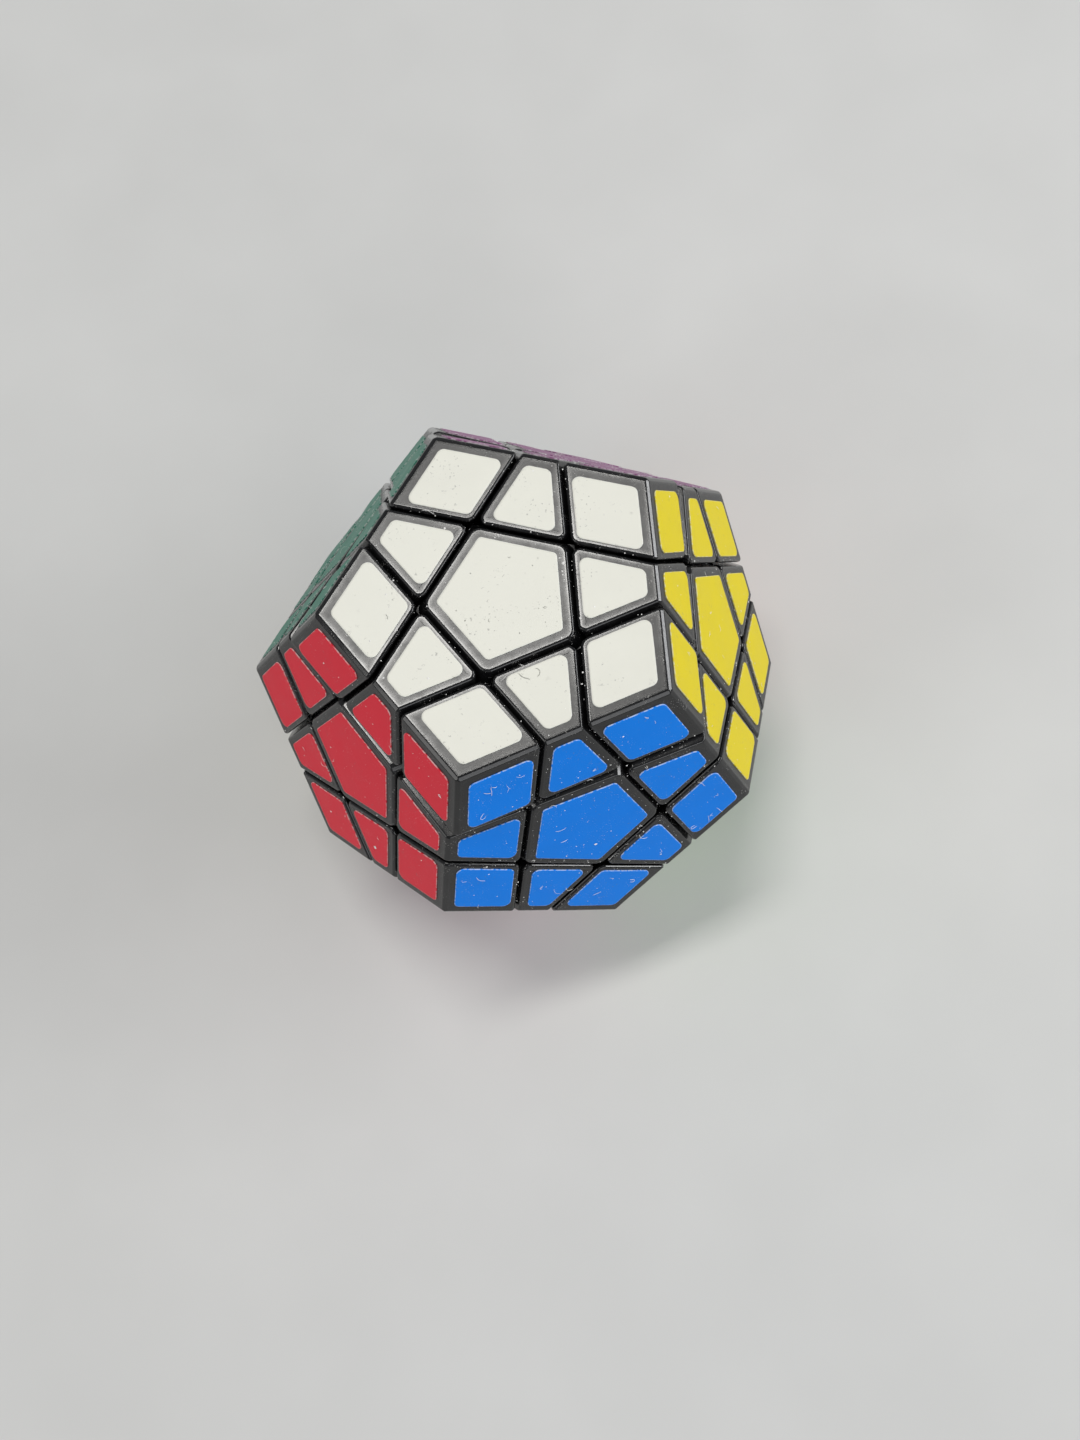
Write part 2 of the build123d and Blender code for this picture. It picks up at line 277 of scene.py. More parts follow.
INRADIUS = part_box("white_layer_centre_cap")[1].z * 1000     # millimetres from here on
GAP = 0.4                                                   # between neighbouring pieces
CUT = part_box("white_layer_edge_shells")[0].z * 1000 - GAP / 2
RIM = 0.5                                                   # radius of the rims beside the gaps
RIDGE = 1.2                                                 # of the ridges between two faces
UPRIGHT = {1: 2.0, 2: 1.0, 3: 1.8}                          # of a piece of so many faces' upright ribs
INNER_RIM, INNER_UPRIGHT = 0.2, 0.4
WALL = 1.2
EDGE_SPLIT = 31.25                                          # where the feet plug in, from the middle
CORNER_SPLIT = 33.46
CAP_THICKNESS = 2.4
CAP_PLUG = (1.95, 1.6, 1.2)                                 # inset, height and wall
ARC_STEPS = 4
FACETS = 3                                                  # of an upright rib
SOFT_RINGS = (0.0, 0.25, 0.7)                               # rings of a flat face, in from its ribs
WORN_DEPTH = 0.7                                            # over which the wear fades into a gap
WHITE_TURN = np.radians(1.8)                                # the white layer stands this far round
TILT, SLIDE = np.radians(0.3), 0.05                         # a piece's play, about and along each axis
TIP_REACH, SINK = 14.0, 0.03                                # a tilt lifts its tips; it sits this deep

# the home face, its first and second neighbours anticlockwise, and the one before the first
HOME, FIRST, SECOND, LAST = heading(0, np.pi / 2), heading(0, lean), heading(72, lean), heading(-72, lean)


def around(points, axis):
    """The order of these points anticlockwise about an axis, seen from its outer end."""
    side = unit(np.cross(axis, [0.3, 0.5, 0.8]))
    off = points - points.mean(0)
    return np.argsort(np.arctan2(off @ np.cross(axis, side), off @ side))


def inset_loop(loop, normal, by):
    """A convex loop, anticlockwise about normal, with every side moved in by a distance."""
    inward = np.cross(normal, unit(np.roll(loop, -1, 0) - loop))
    before = np.roll(inward, 1, 0)
    return loop + by * (before + inward) / (1 + (before * inward).sum(-1, keepdims=True))


class Skin:
    """Patches of surface gathered in millimetres. Each patch is rows of points, a normal for each
    point, faces as rows of point numbers, and how worn each point is, from 0 to 1."""

    def __init__(self):
        self.points, self.normals, self.wear, self.faces, self.count = [], [], [], [], 0

    def add(self, points, normals, faces, wear):
        points = np.asarray(points, float).reshape(-1, 3)
        self.points.append(points)
        self.normals.append(np.broadcast_to(normals, points.shape))
        self.wear.append(np.broadcast_to(wear, len(points)))
        self.faces.append(np.asarray(faces, int) + self.count)
        self.count += len(points)

    def strip(self, rows, normals, wear, closed=False, flip=False):
        """A grid of faces over rows of points, each row as long as the others."""
        rows = np.asarray(rows, float)
        tall, wide = rows.shape[:2]
        number = np.arange(tall * wide).reshape(tall, wide)
        if closed:
            number = np.concatenate([number, number[:, :1]], 1)
        quads = np.stack([number[:-1, :-1], number[:-1, 1:], number[1:, 1:], number[1:, :-1]], -1)
        quads = quads.reshape(-1, 4)
        wear = np.broadcast_to(np.asarray(wear, float).reshape(-1, 1) if np.ndim(wear) == 1 else wear,
                               (tall, wide))
        self.add(rows, np.broadcast_to(normals, rows.shape).reshape(-1, 3),
                 quads[:, ::-1] if flip else quads, wear.ravel())

    def fan(self, loop, normal, wear, flip=False):
        """One flat many-sided face."""
        order = np.arange(len(loop))[None]
        self.add(loop, normal, order[:, ::-1] if flip else order, wear)

    def web(self, loop, normal, wear):
        """Flat triangles from a loop to a point in its middle."""
        number = np.arange(len(loop))
        faces = np.stack([number, np.roll(number, -1), np.full(len(loop), len(loop))], -1)
        self.add(np.vstack([loop, loop.mean(0)]), normal, faces, wear)

    def turned(self, turn, shift):
        """This skin's points and normals turned by a matrix and moved."""
        return np.concatenate(self.points) @ turn.T + shift, np.concatenate(self.normals) @ turn.T


def meeting_points(normals, heights):
    """Where three of the planes n.x = h meet without passing another. Returns the plane numbers of
    each meeting, anticlockwise seen from outside, and its point."""
    trios = np.array(list(combinations(range(len(normals)), 3)))
    volume = np.linalg.det(normals[trios])
    trios = np.where(volume[:, None] < 0, trios[:, ::-1], trios)[abs(volume) > 1e-6]
    points = np.linalg.solve(normals[trios], heights[trios][..., None])[..., 0]
    inside = (points @ normals.T <= heights + 1e-6).all(1)
    return trios[inside], points[inside]


def rounded_block(skin, normals, heights, radius, outward, split, seen=0, inside=False):
    """A convex block, rounded by a ball that rolls along its ribs, cut off flat at the split.

    The block's planes move in by the radius. Every rib is then swept by the arc between its two
    planes' normals, and every tip by the ball's patch between its three normals. The first seen
    planes are flats with soft rings. Returns the open loop of points at the split.
    """
    trios, tips = meeting_points(normals, heights - radius)
    kept = tips @ outward > split
    side = -1 if inside else 1
    share = np.linspace(0, 1, ARC_STEPS + 1)
    i, j = np.meshgrid(np.arange(ARC_STEPS + 1), np.arange(ARC_STEPS + 1), indexing="ij")
    whole = i + j <= ARC_STEPS
    i, j = i[whole], j[whole]
    number = -np.ones((ARC_STEPS + 2, ARC_STEPS + 2), int)
    number[i, j] = np.arange(len(i))
    up = np.stack([number[i, j], number[i + 1, j], number[i, j + 1]], -1)[i + j < ARC_STEPS]
    down = np.stack([number[i + 1, j], number[i + 1, j + 1], number[i, j + 1]], -1)[i + j < ARC_STEPS - 1]
    triangles = np.concatenate([up, down])
    weights = np.stack([ARC_STEPS - i - j, i, j], -1) / ARC_STEPS

    def worn(points):
        """Full on the outer ribs, and none a millimetre or two down in the gaps."""
        depth = (heights[:seen] - points @ normals[:seen].T).min(-1) if seen else np.inf
        return np.exp(-np.maximum(depth - 0.35 * radius, 0) / WORN_DEPTH)

    for trio, tip in zip(trios[kept], tips[kept]):
        ball = unit(weights @ normals[trio])
        points = tip + radius * ball
        skin.add(points, side * ball, triangles[:, ::side], worn(points))
    borders = {plane: [] for plane in range(len(normals))}
    loops = []
    for p, q in combinations(range(len(trios)), 2):
        both = sorted(set(trios[p]) & set(trios[q]))
        if len(both) < 2 or not (kept[p] or kept[q]):
            continue
        if not kept[p]:
            p, q = q, p
        a, b = both
        if np.dot(np.cross(normals[a], normals[b]), tips[q] - tips[p]) < 0:
            a, b = b, a
        ball = unit(np.outer(1 - share, normals[a]) + np.outer(share, normals[b]))
        near, far = tips[p] + radius * ball, tips[q] + radius * ball
        if not kept[q]:
            along = unit(tips[q] - tips[p])
            far = near + np.outer((split - near @ outward) / (along @ outward), along)
            loops.append(far[::-1])
            borders[a].append(far[0])
            borders[b].append(far[-1])
        rows = np.stack([near, far])
        skin.strip(rows, side * ball[None], worn(rows), flip=inside)
    for trio, tip in zip(trios[kept], tips[kept]):
        for plane in trio:
            borders[plane].append(tip + radius * normals[plane])
    for plane, border in borders.items():
        if not border:
            continue
        border = np.array(border)
        border = border[around(border, normals[plane])]
        if plane < seen:
            rings = [inset_loop(border, normals[plane], by) for by in SOFT_RINGS]
            fade = np.exp(-np.array(SOFT_RINGS) / 0.3)
            skin.strip(rings, normals[plane], fade, closed=True)
            skin.fan(rings[-1], normals[plane], fade[-1])
        else:
            skin.fan(border, side * normals[plane], worn(border), flip=inside)
    middles = np.array([loop.mean(0) for loop in loops])
    return np.concatenate([loops[k] for k in around(middles, outward)])


def soften(normals, heights, pairs, radius, facets):
    """Adds planes that turn from one plane of each pair to the other, tangent to a cylinder of this
    radius that touches both, so that the rib between them is rounder than the others."""
    extra_normals, extra_heights = [], []
    for i, j in pairs:
        angle = np.arccos(normals[i] @ normals[j])
        share = np.arange(1, facets + 1) / (facets + 1)
        a, b = np.sin((1 - share) * angle) / np.sin(angle), np.sin(share * angle) / np.sin(angle)
        extra_normals.append(np.outer(a, normals[i]) + np.outer(b, normals[j]))
        extra_heights.append(a * (heights[i] - radius) + b * (heights[j] - radius) + radius)
    return np.vstack([normals, *extra_normals]), np.concatenate([heights, *extra_heights])


def block_planes(faces, cuts, ends, outward, floor, upright, inset=0.0, ridge=RIDGE):
    """The planes around a piece, moved in by inset: its faces, its own layers' cuts, the cuts of the
    layers that it isn't in, a floor below the split, and the facets of its rounder ribs."""
    normals = np.array([*faces, *(-n for n in cuts), *ends])
    heights = [INRADIUS] * len(faces) + [-CUT - GAP / 2] * len(cuts) + [CUT - GAP / 2] * len(ends)
    heights = np.array(heights) - inset
    below = range(len(faces), len(faces) + len(cuts))
    if ends and cuts:
        uprights = [(i, j) for i in below for j in range(below.stop, len(normals))]
    else:
        uprights = [(i, j) for i, j in combinations(range(len(faces), len(normals)), 2)
                    if abs(normals[i] @ normals[j] - np.sin(lean)) < 1e-3]
    normals, heights = soften(normals, heights, uprights, upright, FACETS)
    normals, heights = soften(normals, heights, combinations(range(len(faces)), 2), ridge, 1)
    return np.vstack([normals, -outward]), np.append(heights, -floor)


def hollow_shell(faces, ends, split):
    """An edge's or a corner's shell: a rounded block, a smaller one turned inwards, and the lip that
    joins them where the foot plugs in."""
    skin = Skin()
    outward = unit(sum(faces))
    normals, heights = block_planes(faces, faces, ends, outward, split - 1, UPRIGHT[len(faces)])
    outer = rounded_block(skin, normals, heights, RIM, outward, split, seen=len(faces))
    normals, heights = block_planes(faces, faces, ends, outward, split - 1, INNER_UPRIGHT, WALL,
                                    INNER_UPRIGHT)
    inner = rounded_block(skin, normals, heights, INNER_RIM, outward, split, inside=True)
    skin.strip([outer, inner], -outward, 0.0, closed=True, flip=True)
    return skin


def five_sided(half, height, per_corner):
    """A loop of points around the home axis: five corners, each a small arc, and five sides that
    stand half away from the axis."""
    corners = np.radians(72 * np.arange(5) + 36)
    turn = (corners[:, None] + np.linspace(-1, 1, per_corner) * np.radians(36)).ravel()
    middle = np.repeat(corners, per_corner)
    reach = (half - INNER_RIM) / np.cos(np.radians(36))
    return np.stack([reach * np.cos(middle) + INNER_RIM * np.cos(turn),
                     reach * np.sin(middle) + INNER_RIM * np.sin(turn), np.full(turn.shape, height)], -1)


def centre_cap():
    """A cap: a rounded plate whose underside steps down into a hollow five-sided plug."""
    skin = Skin()
    base = INRADIUS - CAP_THICKNESS
    sides = [heading(72 * k, lean) for k in range(5)]
    normals, heights = block_planes([HOME], [], sides, HOME, base - 1, UPRIGHT[1])
    lip = rounded_block(skin, normals, heights, RIM, HOME, base, seen=1)
    inset, tall, wall = CAP_PLUG
    half = (CUT - base * np.sin(lean)) / np.cos(lean) - inset
    lip = lip[np.argsort(np.arctan2(lip[:, 1], lip[:, 0]) % (2 * np.pi))]
    outer, low, inner, roof = (five_sided(reach, height, len(lip) // 5) for reach, height in (
        (half, base), (half, base - tall), (half - wall, base - tall), (half - wall, base)))
    out = unit(outer * [1, 1, 0])
    skin.strip([lip, outer], -HOME, 0.0, closed=True, flip=True)
    skin.strip([outer, low], out[None], 0.0, closed=True, flip=True)
    skin.strip([low, inner], -HOME, 0.0, closed=True, flip=True)
    skin.strip([inner, roof], -out[None], 0.0, closed=True, flip=True)
    skin.fan(roof, -HOME, 0.0, flip=True)
    return skin


def home_to(face, neighbour):
    """The matrix that takes the home face and its first neighbour to these two."""
    n, m = FACES[face], FACES[neighbour]
    side = unit(m - n * (n @ m))
    return np.column_stack([side, np.cross(n, side), n])


def spun(axis, angle):
    """A turn about an axis, in radians."""
    return np.array(Matrix.Rotation(angle, 3, axis.tolist()))


def layer_of(faces):
    """The turning layer that holds a piece of these faces, or None if it stays with the core."""
    return next((layer for layer in LAYERS if layer in faces), None)


def seat(faces, outward, seed, play):
    """How a piece sits in its place: its layer's turn and, with play, a little tilt and slide of its
    own within the gaps. A tilted piece sinks until its highest corner is level. Returns a matrix
    and a shift."""
    draw = np.random.default_rng(seed)
    middle = outward * INRADIUS
    tilt = draw.uniform(-1, 1, 3) * TILT * play
    turn = spun(unit(tilt), np.linalg.norm(tilt)) if play else np.eye(3)
    slide = draw.uniform(-1, 1, 3) * SLIDE * play
    slide -= outward * (slide @ outward + TIP_REACH * np.linalg.norm(tilt) + SINK * play)
    shift = middle - turn @ middle + slide
    layer = spun(FACES["white"], WHITE_TURN) if layer_of(faces) == "white" else np.eye(3)
    return layer @ turn, layer @ shift


def adjacent(one, other):
    """Whether two faces share a rib."""
    return abs(FACES[one] @ FACES[other] - np.sin(lean)) < 1e-3


NEIGHBOURS = {f: [g for g in FACES if adjacent(f, g)] for f in FACES}
PAIRS = [(f, g) for f, g in combinations(FACES, 2) if adjacent(f, g)]
TRIOS = [t if np.linalg.det([FACES[f] for f in t]) > 0 else (t[1], t[0], t[2])
         for t in combinations(FACES, 3) if all(adjacent(*p) for p in combinations(t, 2))]
PIECES = [(f,) for f in FACES] + PAIRS + TRIOS
SEATS = {p: seat(p, unit(sum(FACES[f] for f in p)), 400 + k, play=len(p) > 1)
         for k, p in enumerate(PIECES)}


def body_of(faces):
    """The body that a piece of these faces rides."""
    layer = layer_of(faces)
    return layer + "_layer" if layer else "core"


def node_of(kind, faces):
    """The frame node for this kind of thing on a piece of these faces. Where a layer has only one
    of them, its name has no plural s."""
    layer = layer_of(faces)
    node = f"{layer}_layer_{kind}" if layer else kind
    return node if node in NODES else node.rstrip("s")


def build(name, parts, material, body, replaced):
    """One mesh object in metres from placed skins, welded, with exact normals and its wear."""
    points, wear, faces, loops, count = [], [], [], [], 0
    for skin, turn, shift in parts:
        where, facing = skin.turned(turn, shift)
        for block in skin.faces:
            faces += (block + count).tolist()
            loops.append(facing[block.ravel()])
        points.append(where)
        wear.append(np.concatenate(skin.wear))
        count += skin.count
    points = np.concatenate(points)
    _, first, number = np.unique(np.round(points * 1e4).astype(int), axis=0, return_index=True,
                                 return_inverse=True)
    number = number.ravel()
    mesh = bpy.data.meshes.new(name)
    mesh.from_pydata(points[first] * 0.001, [], [[int(number[k]) for k in face] for face in faces])
    mesh.attributes.new("wear", "FLOAT", "POINT").data.foreach_set("value", np.concatenate(wear)[first])
    mesh.shade_smooth()
    mesh.normals_split_custom_set(np.concatenate(loops).tolist())
    mesh.materials.append(material)
    piece = bpy.data.objects.new(name, mesh)
    bpy.context.scene.collection.objects.link(piece)
    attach(piece, body)
    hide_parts(*replaced)


def shell_black():
    """Black ABS as hands leave it: a satin skin, ribs rubbed smoother and greyer, dust by the gaps."""
    material, shader, spot = start_material("black shell", Specular_IOR_Level=0.5)
    wear = spot.node("ShaderNodeAttribute", {"attribute_name": "wear"}, out=2)
    cloud = spot.noise(350.0, 4.0)
    dust = spot.noise(5200.0, 1.0).rise(0.66, 0.72) * spot.noise(420.0, 3.0).rise(0.48, 0.66)
    film = spot.noise(900.0, 5.0, 0.6).rise(0.42, 0.8)
    rubbed = wear.rise(0.35, 1.0) * cloud.rise(0.35, 0.75)
    tone = (rubbed * 0.6 + film * 0.3).blend((0.004, 0.004, 0.0045, 1), (0.015, 0.015, 0.015, 1))
    feed(shader, "Base Color", (dust * 0.7).blend(tone, (0.40, 0.39, 0.37, 1)))
    feed(shader, "Roughness", 0.33 + (cloud - 0.5) * 0.12 - wear * 0.19 + film * 0.06 + dust * 0.3)
    emboss(shader, spot.noise(6500.0, 2.0) * 0.7 + cloud * 2.0 + dust * 2.0, 0.2, 0.00003)
    return material


black = shell_black()
HOME_SHELLS = {"centre_caps": centre_cap(),
               "edge_shells": hollow_shell([HOME, FIRST], [SECOND, LAST], EDGE_SPLIT),
               "corner_shells": hollow_shell([HOME, FIRST, SECOND], [], CORNER_SPLIT)}
parts = {}
for piece in PIECES:
    kind = list(HOME_SHELLS)[len(piece) - 1]
    turn, shift = SEATS[piece]
    home = home_to(piece[0], piece[1] if len(piece) > 1 else NEIGHBOURS[piece[0]][0])
    place = node_of(kind, piece), body_of(piece)
    parts.setdefault(place, []).append((HOME_SHELLS[kind], turn @ home, shift))
for (node, body), skins in parts.items():
    build("black_" + node, skins, black, body, [node])


# ---- Stickers ----
# Every face carries eleven stickers, die-cut from coloured vinyl 0.15 mm thick and pressed on by
# hand. Their edges are pale where the vinyl is cut, and the green and purple ones are picked ragged.

STICKER = 0.15                                              # the vinyl's thickness
NEAR = (CUT - INRADIUS * np.sin(lean)) / np.cos(lean)       # from a face's middle to a cut
FAR = INRADIUS * (np.sqrt(5) - 1) / 2                       # and to a rib
BY_RIB, BY_CUT, ROUND = FAR - 1.66, 1.4, 1.1                # sides of the outer stickers, their corners
# by the faces of its piece, a sticker's sides (direction, distance from the middle) and corner radius
OUTLINES = {1: ([(72 * k, NEAR - 1.6) for k in range(5)], 0.75),
            2: ([(0, BY_RIB), (72, NEAR - BY_CUT), (180, -NEAR - BY_CUT), (288, NEAR - BY_CUT)], ROUND),
            3: ([(0, BY_RIB), (72, BY_RIB), (180, -NEAR - BY_CUT), (252, -NEAR - BY_CUT)], ROUND)}
WANDER, STEP = 0.025, 0.33                                  # of a cut line, and the points along it
STUCK_TURN, STUCK_SHIFT = 0.35, 0.06                        # errors of sticking, degrees and mm
PALE_EDGE = 0.3                                             # from the cut to where its wear ends
STICKER_RINGS = ((0, 0), (0, 0.105), (0.02, 0.14), (0.07, STICKER), (PALE_EDGE, STICKER))
COLOURS = {"white": (0.69, 0.685, 0.615), "blue": (0.0, 0.195, 0.76), "yellow": (0.63, 0.51, 0.001),
           "red": (0.68, 0.020, 0.042), "green": (0.001, 0.16, 0.10), "purple": (0.22, 0.06, 0.18),
           "grey": (0.30, 0.31, 0.31), "light_blue": (0.14, 0.50, 0.74), "cream": (0.80, 0.68, 0.36),
           "pink": (0.82, 0.30, 0.42), "light_green": (0.24, 0.62, 0.08), "orange": (0.82, 0.20, 0.01)}
RAGGED = {"green": 0.30, "purple": 0.22}                    # how deep the nicks go in


def cut_outline(lines, radius, seed, ragged):
    """A sticker's outline: straight sides (angle of the outward normal, distance), joined by arcs,
    in steps of a third of a millimetre. Every side wanders in by a few hundredths of a millimetre,
    and a ragged one has nicks too."""
    angle, reach = np.radians([a for a, _ in lines]), np.array([d for _, d in lines]) - radius
    out = np.stack([np.cos(angle), np.sin(angle)], -1)
    after, reach_after = np.roll(out, -1, 0), np.roll(reach, -1)
    reaches = np.stack([reach, reach_after], -1)[..., None]
    middle = np.linalg.solve(np.stack([out, after], 1), reaches)[..., 0]
    rows = []
    for k, (spot, a, b) in enumerate(zip(middle, angle, np.roll(angle, -1))):
        sweep = a + ((b - a) % (2 * np.pi)) * np.linspace(0, 1, 8)
        arc = spot + radius * np.stack([np.cos(sweep), np.sin(sweep)], -1)
        ahead = middle[(k + 1) % len(lines)] + radius * after[k]
        steps = max(2, int(np.linalg.norm(ahead - arc[-1]) / STEP))
        side = arc[-1] + np.linspace(0, 1, steps, endpoint=False)[1:, None] * (ahead - arc[-1])
        rows += [arc, side]
    loop = np.concatenate(rows)
    draw = np.random.default_rng(seed)
    share = np.arange(len(loop)) / len(loop) * 2 * np.pi
    waves = draw.uniform(0, 2 * np.pi, 9)
    nibble = sum(np.sin((3 + 5 * n) * share + w) for n, w in enumerate(waves)) / 9
    nicks = np.clip(nibble * 2.2 - 0.1 + 0.5 * draw.random(len(loop)), 0, 1) ** 2
    bite = WANDER * (1 + nibble) + ragged * nicks
    along = np.roll(loop, -1, 0) - np.roll(loop, 1, 0)
    inward = unit(np.stack([-along[:, 1], along[:, 0]], -1))
    return loop + inward * bite[:, None], inward


def sticker(kind, seed, ragged):
    """One sticker on the home face: rings up its cut side, over its rounded rim and in over its flat
    top, then triangles to its middle. Its wear is 1 at the cut and 0 from the last ring in."""
    lines, radius = OUTLINES[kind]
    loop, inward = cut_outline(lines, radius, seed, ragged)
    draw = np.random.default_rng(seed + 7)
    turn, moved = np.radians(draw.normal(0, STUCK_TURN)), draw.normal(0, STUCK_SHIFT, 2)
    spin = np.array([[np.cos(turn), np.sin(turn)], [-np.sin(turn), np.cos(turn)]])
    middle = loop.mean(0)
    rows, facing, wear = [], [], []
    lean_out = ((1, 0), (1, 0.1), (0.8, 0.6), (0.3, 1), (0, 1))
    for (inset, height), (flat, up) in zip(STICKER_RINGS, lean_out):
        ring = (loop + inward * inset - middle) @ spin + middle + moved
        rows.append(np.column_stack([ring, np.full(len(ring), INRADIUS + height)]))
        facing.append(unit(np.column_stack([-inward * flat, np.full(len(ring), up + 1e-9)])))
        wear.append(np.full(len(ring), 1 - inset / PALE_EDGE))
    skin = Skin()
    skin.strip(rows, np.array(facing), np.array(wear), closed=True)
    skin.web(rows[-1], HOME, 0.0)
    return skin


def vinyl(name, tone, pale, rubs):
    """Coloured vinyl with a pale cut edge, faint scuffs, grey rubs and a slight orange-peel skin."""
    material, shader, spot = start_material("vinyl " + name, Specular_IOR_Level=0.13)
    edge = spot.node("ShaderNodeAttribute", {"attribute_name": "wear"}, out=2)
    cloud = spot.noise(220.0, 4.0)
    scuff = spot.noise(700.0, 5.0, 0.65).rise(0.60, 0.78) * spot.noise(130.0, 1.0).rise(0.48, 0.68)
    mark = spot.noise(2300.0, 3.0, 0.6).rise(0.61, 0.69) * spot.noise(170.0, 2.0).rise(0.50, 0.60)
    speck = spot.noise(6500.0, 1.0).rise(0.71, 0.75) * spot.noise(300.0, 2.0).rise(0.45, 0.65)
    body = cloud.blend((*[t * 0.94 for t in tone], 1), (*[min(1, t * 1.05) for t in tone], 1))
    cut = edge.rise(0.5, 0.95) * spot.noise(2200.0, 2.0).rise(0.35, 0.62)
    body = (cut * pale).blend(body, (0.75, 0.77, 0.75, 1))
    body = (scuff * 0.22 + mark * rubs).blend(body, (0.17, 0.17, 0.17, 1))
    feed(shader, "Base Color", (speck * 0.6).blend(body, (0.7, 0.7, 0.68, 1)))
    feed(shader, "Roughness", 0.38 + (cloud - 0.5) * 0.2 + scuff * 0.2)
    emboss(shader, spot.noise(1400.0, 2.0) + spot.noise(160.0, 1.0) * 6.0 + scuff * 0.6, 0.2, 0.00003)
    return material


for number, (colour, tone) in enumerate(COLOURS.items()):
    skins = {}
    for piece in PIECES:
        if colour not in piece:
            continue
        others = [f for f in piece if f != colour]
        if len(others) == 2 and np.linalg.det([FACES[f] for f in (colour, *others)]) < 0:
            others.reverse()
        home = home_to(colour, others[0] if others else NEIGHBOURS[colour][0])
        turn, shift = SEATS[piece]
        seed = 31 * number + 1000 + len(skins) * 400 + len(others) * 97 + PIECES.index(piece)
        made = sticker(len(piece), seed, RAGGED.get(colour, 0.0))
        place = node_of("stickers_" + colour, piece), body_of(piece)
        skins.setdefault(place, []).append((made, turn @ home, shift))
    material = vinyl(colour, tone, 0.55, 0.5 if colour == "white" else 0.3)
    for (node, body), made in skins.items():
        build("vinyl_" + node, made, material, body, [node])


# ---- Lint and dust ----
# The puzzle has lived in a bag: short white fibres and flecks of dust cling to the stickers and
# collect along the gaps, most of all on the blue face and the ribs around it.

FLECKS = dict.fromkeys(FACES, 180) | {"blue": 460, "white": 300, "yellow": 260, "red": 140}
HAIRS = dict.fromkeys(FACES, 9) | {"blue": 44, "white": 12, "yellow": 16, "red": 8}
BARE_FLECKS, BARE_HAIRS = 0.72, 0.35                        # the share of them on bare plastic
GAP_BAND = (0.24, 1.3)                                      # from a gap's middle to where dust lies
HAIR_CLEAR = 0.35                                           # and to where fibres may
TO_SIDES = np.stack([np.cos(np.radians(72 * np.arange(5))), np.sin(np.radians(72 * np.arange(5)))])


def scatter(draw, count, bare_share):
    """Random points (x, y, height) on the home face, clear of the gaps. This share of them lies on
    the bare plastic and the rims beside the gaps, and the rest on the stickers."""
    spots = draw.uniform(-FAR, FAR, (count * 60, 2))
    across = spots @ TO_SIDES
    to_gap = abs(across - NEAR).min(1)
    on_face = (across < FAR - 0.9).all(1)
    bare = on_face & (to_gap > GAP_BAND[0]) & (to_gap < GAP_BAND[1])
    stuck = (across < FAR - 2.2).all(1) & (to_gap > 2.0)
    low = np.flatnonzero(bare)[:int(count * bare_share)]
    high = np.flatnonzero(stuck)[:count - len(low)]
    drop = RIM - np.sqrt(RIM**2 - np.clip(RIM + GAP / 2 - to_gap[low], 0, RIM) ** 2)
    height = np.concatenate([INRADIUS - drop, np.full(len(high), INRADIUS + STICKER)])
    return np.column_stack([spots[np.concatenate([low, high])], height])


def flecks(draw, spots):
    """Flat eight-sided crumbs: six points each, on random half axes of a few hundredths of a
    millimetre, joined as an octahedron."""
    size = draw.lognormal(np.log(0.055), 0.5, (len(spots), 1, 1))
    axes = np.array([[1, 0, 0], [0, 1, 0], [0, 0, 1], [-1, 0, 0], [0, -1, 0], [0, 0, -1]], float)
    turn = draw.uniform(0, np.pi, len(spots))
    c, s, z = np.cos(turn), np.sin(turn), np.zeros(len(spots))
    spin = np.stack([np.stack([c, -s, z], -1), np.stack([s, c, z], -1), np.stack([z, z, z + 0.5], -1)], 1)
    points = (axes * draw.uniform(0.5, 1.5, (len(spots), 6, 1)) * size) @ spin
    faces = np.array([[0, 1, 2], [1, 3, 2], [3, 4, 2], [4, 0, 2],
                      [1, 0, 5], [3, 1, 5], [4, 3, 5], [0, 4, 5]])
    return points + (spots + [0, 0, 0.01])[:, None], faces


def hairs(draw, spots, steps=9, sides=5):
    """Curled fibres: a line whose course drifts along its length and whose height swells in the
    middle, swept by a five-sided ring. Those that would cross a gap or a ridge are left out."""
    share = np.linspace(0, 1, steps)
    length = draw.uniform(0.5, 2.4, (len(spots), 1))
    course = draw.uniform(0, 2 * np.pi, (len(spots), 1)) + draw.normal(0, 1.6, (len(spots), 1)) * share
    course = course + draw.normal(0, 1.0, (len(spots), 1)) * np.sin(share * 5)
    step = np.stack([np.cos(course), np.sin(course), 0 * course], -1) * length[..., None] / (steps - 1)
    line = spots[:, None] + np.cumsum(step, 1)
    line[..., 2] += 0.03 + draw.uniform(0.02, 0.3, (len(spots), 1)) * np.sin(np.pi * share)
    side = unit(np.cross(step, [0, 0, 1]))
    rise = unit(np.cross(side, step))
    ring_turn = 2 * np.pi * np.arange(sides) / sides
    taper = np.sqrt(1 - (2 * share - 1) ** 6)[:, None, None]
    thick = draw.uniform(0.018, 0.038, (len(spots), 1, 1, 1)) * taper
    ring = side[:, :, None] * np.cos(ring_turn)[:, None] + rise[:, :, None] * np.sin(ring_turn)[:, None]
    points = (line[:, :, None] + thick * ring).reshape(len(spots), -1, 3)
    here = np.arange(steps * sides).reshape(steps, sides)
    after = np.roll(here, -1, 1)
    faces = np.stack([here[:-1], here[1:], after[1:], after[:-1]], -1).reshape(-1, 4)
    across = points[..., :2] @ TO_SIDES
    clear = (abs(across - NEAR) > HAIR_CLEAR).all((1, 2)) & (across < FAR - 0.6).all((1, 2))
    return points[clear], faces


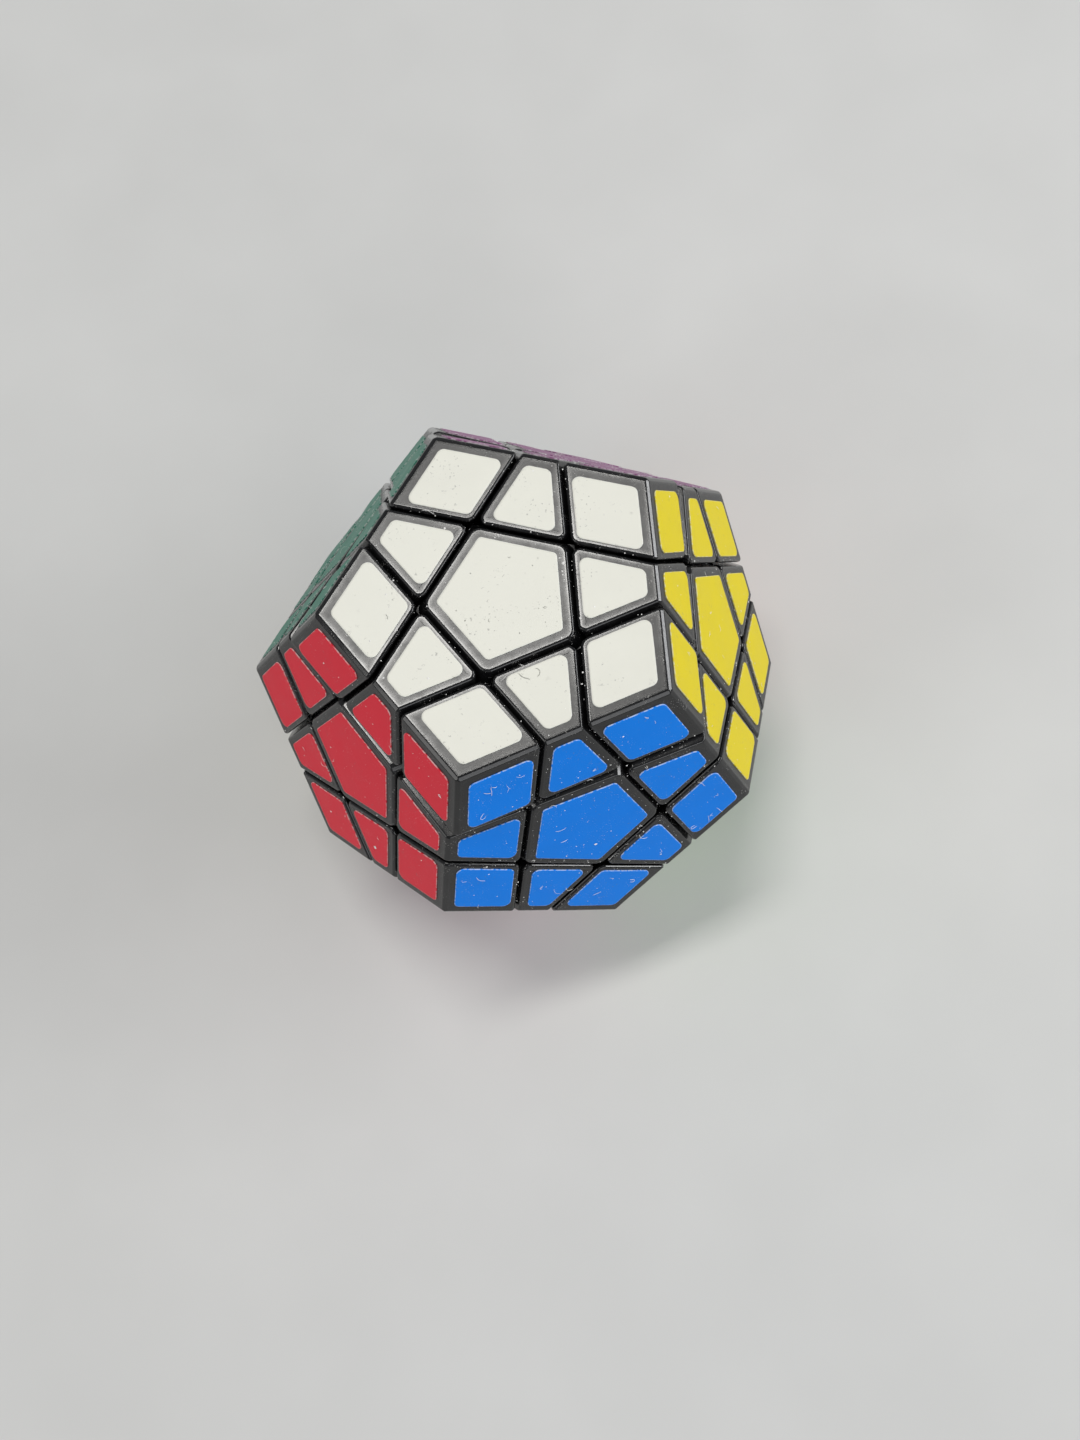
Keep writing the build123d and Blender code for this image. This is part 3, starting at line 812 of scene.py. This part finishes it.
def lint_white():
    """Matt, nearly white, a little greyer from one crumb to the next."""
    material, shader, spot = start_material("lint", Specular_IOR_Level=0.2)
    shade = spot.noise(1200.0, 1.0)
    feed(shader, "Base Color", shade.blend((0.50, 0.49, 0.47, 1), (0.95, 0.95, 0.93, 1)))
    feed(shader, "Roughness", 0.8 + shade * 0.15)
    return material


lint = lint_white()
gathered = {}
for number, face in enumerate(FACES):
    draw = np.random.default_rng(7000 + number)
    home = home_to(face, NEIGHBOURS[face][0])
    for points, faces in (flecks(draw, scatter(draw, FLECKS[face], BARE_FLECKS)),
                          hairs(draw, scatter(draw, HAIRS[face], BARE_HAIRS))):
        points = points @ home.T
        beside = points.mean(1) @ np.array([FACES[f] for f in FACES]).T > CUT
        for piece in PIECES:
            own = (beside == np.array([f in piece for f in FACES])).all(1)
            if own.any():
                turn, shift = SEATS[piece]
                moved = np.clip(points[own] @ turn.T + shift, *1000 * np.array(cad_box))
                gathered.setdefault((body_of(piece), len(faces[0])), []).append((moved, faces))
for (body, sides), groups in gathered.items():
    kind = "dust_" if sides == 3 else "fibres_"
    points = np.concatenate([moved for moved, _ in groups])
    each, faces = points.shape[1], groups[0][1]
    faces = (faces + each * np.arange(len(points))[:, None, None]).reshape(-1, sides)
    mesh = bpy.data.meshes.new(kind + body)
    mesh.from_pydata(points.reshape(-1, 3) * 0.001, [], faces.tolist())
    mesh.materials.append(lint)
    specks = bpy.data.objects.new(kind + body, mesh)
    bpy.context.scene.collection.objects.link(specks)
    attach(specks, body)


# ---- Room ----
# A pale tabletop under a ceiling lamp, a long low window on the right and two soft fills.

reach, height = 12.0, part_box("stickers_grey")[0].z         # the puzzle stands on its grey face
mesh = bpy.data.meshes.new("floor")
mesh.from_pydata([(-reach, -reach, height), (reach, -reach, height), (reach, reach, height),
                  (-reach, reach, height)], [], [(0, 1, 2, 3)])
table = bpy.data.objects.new("floor", mesh)
bpy.context.scene.collection.objects.link(table)
material, shader, spot = start_material("pale tabletop", Roughness=0.6)
feed(shader, "Base Color", spot.noise(30.0, 3.0).blend((0.52, 0.52, 0.51, 1), (0.58, 0.58, 0.57, 1)))
mesh.materials.append(material)

eye = bpy.data.objects.new("eye", bpy.data.cameras.new("eye"))
bpy.context.scene.collection.objects.link(eye)
look, top = np.array([0.03217, 0.23292, -0.97196]), np.array([0.35698, 0.90565, 0.22884])
place = np.eye(4)
place[:3, :3] = np.column_stack([np.cross(look, top), top, -look])
place[:3, 3] = np.array([-6.566, -53.978, 184.052]) * 0.001
eye.matrix_world = Matrix(place.tolist())
eye.data.lens, eye.data.clip_start = 28.4, 0.005
bpy.context.scene.camera = eye

for name, spot, size, power, tone in (
        ("ceiling lamp", (-0.05, 0.42, 1.25), (0.6, 0.2), 8.0, (1.0, 0.985, 0.95)),
        ("long window", (1.147, -0.223, 0.570), (1.3, 0.25), 12.0, (0.98, 0.99, 1.0)),
        ("front fill", (0.1, -1.2, 0.7), (0.9, 0.6), 4.5, (0.97, 0.98, 1.0)),
        ("left fill", (-1.1, -0.2, 0.6), (0.5, 0.7), 3.0, (1.0, 0.99, 0.97))):
    lamp = bpy.data.lights.new(name, "AREA")
    lamp.shape, lamp.size, lamp.size_y, lamp.energy, lamp.color = "RECTANGLE", *size, power, tone
    light = bpy.data.objects.new(name, lamp)
    light.location = spot
    light.rotation_euler = light.location.to_track_quat("Z", "Y").to_euler()
    bpy.context.scene.collection.objects.link(light)
world = bpy.data.worlds.new("surround")
world.use_nodes = True
world.node_tree.nodes["Background"].inputs["Color"].default_value = (0.55, 0.57, 0.60, 1)
world.node_tree.nodes["Background"].inputs["Strength"].default_value = 0.42
bpy.context.scene.world = world
bpy.context.scene.view_settings.view_transform = "Standard"
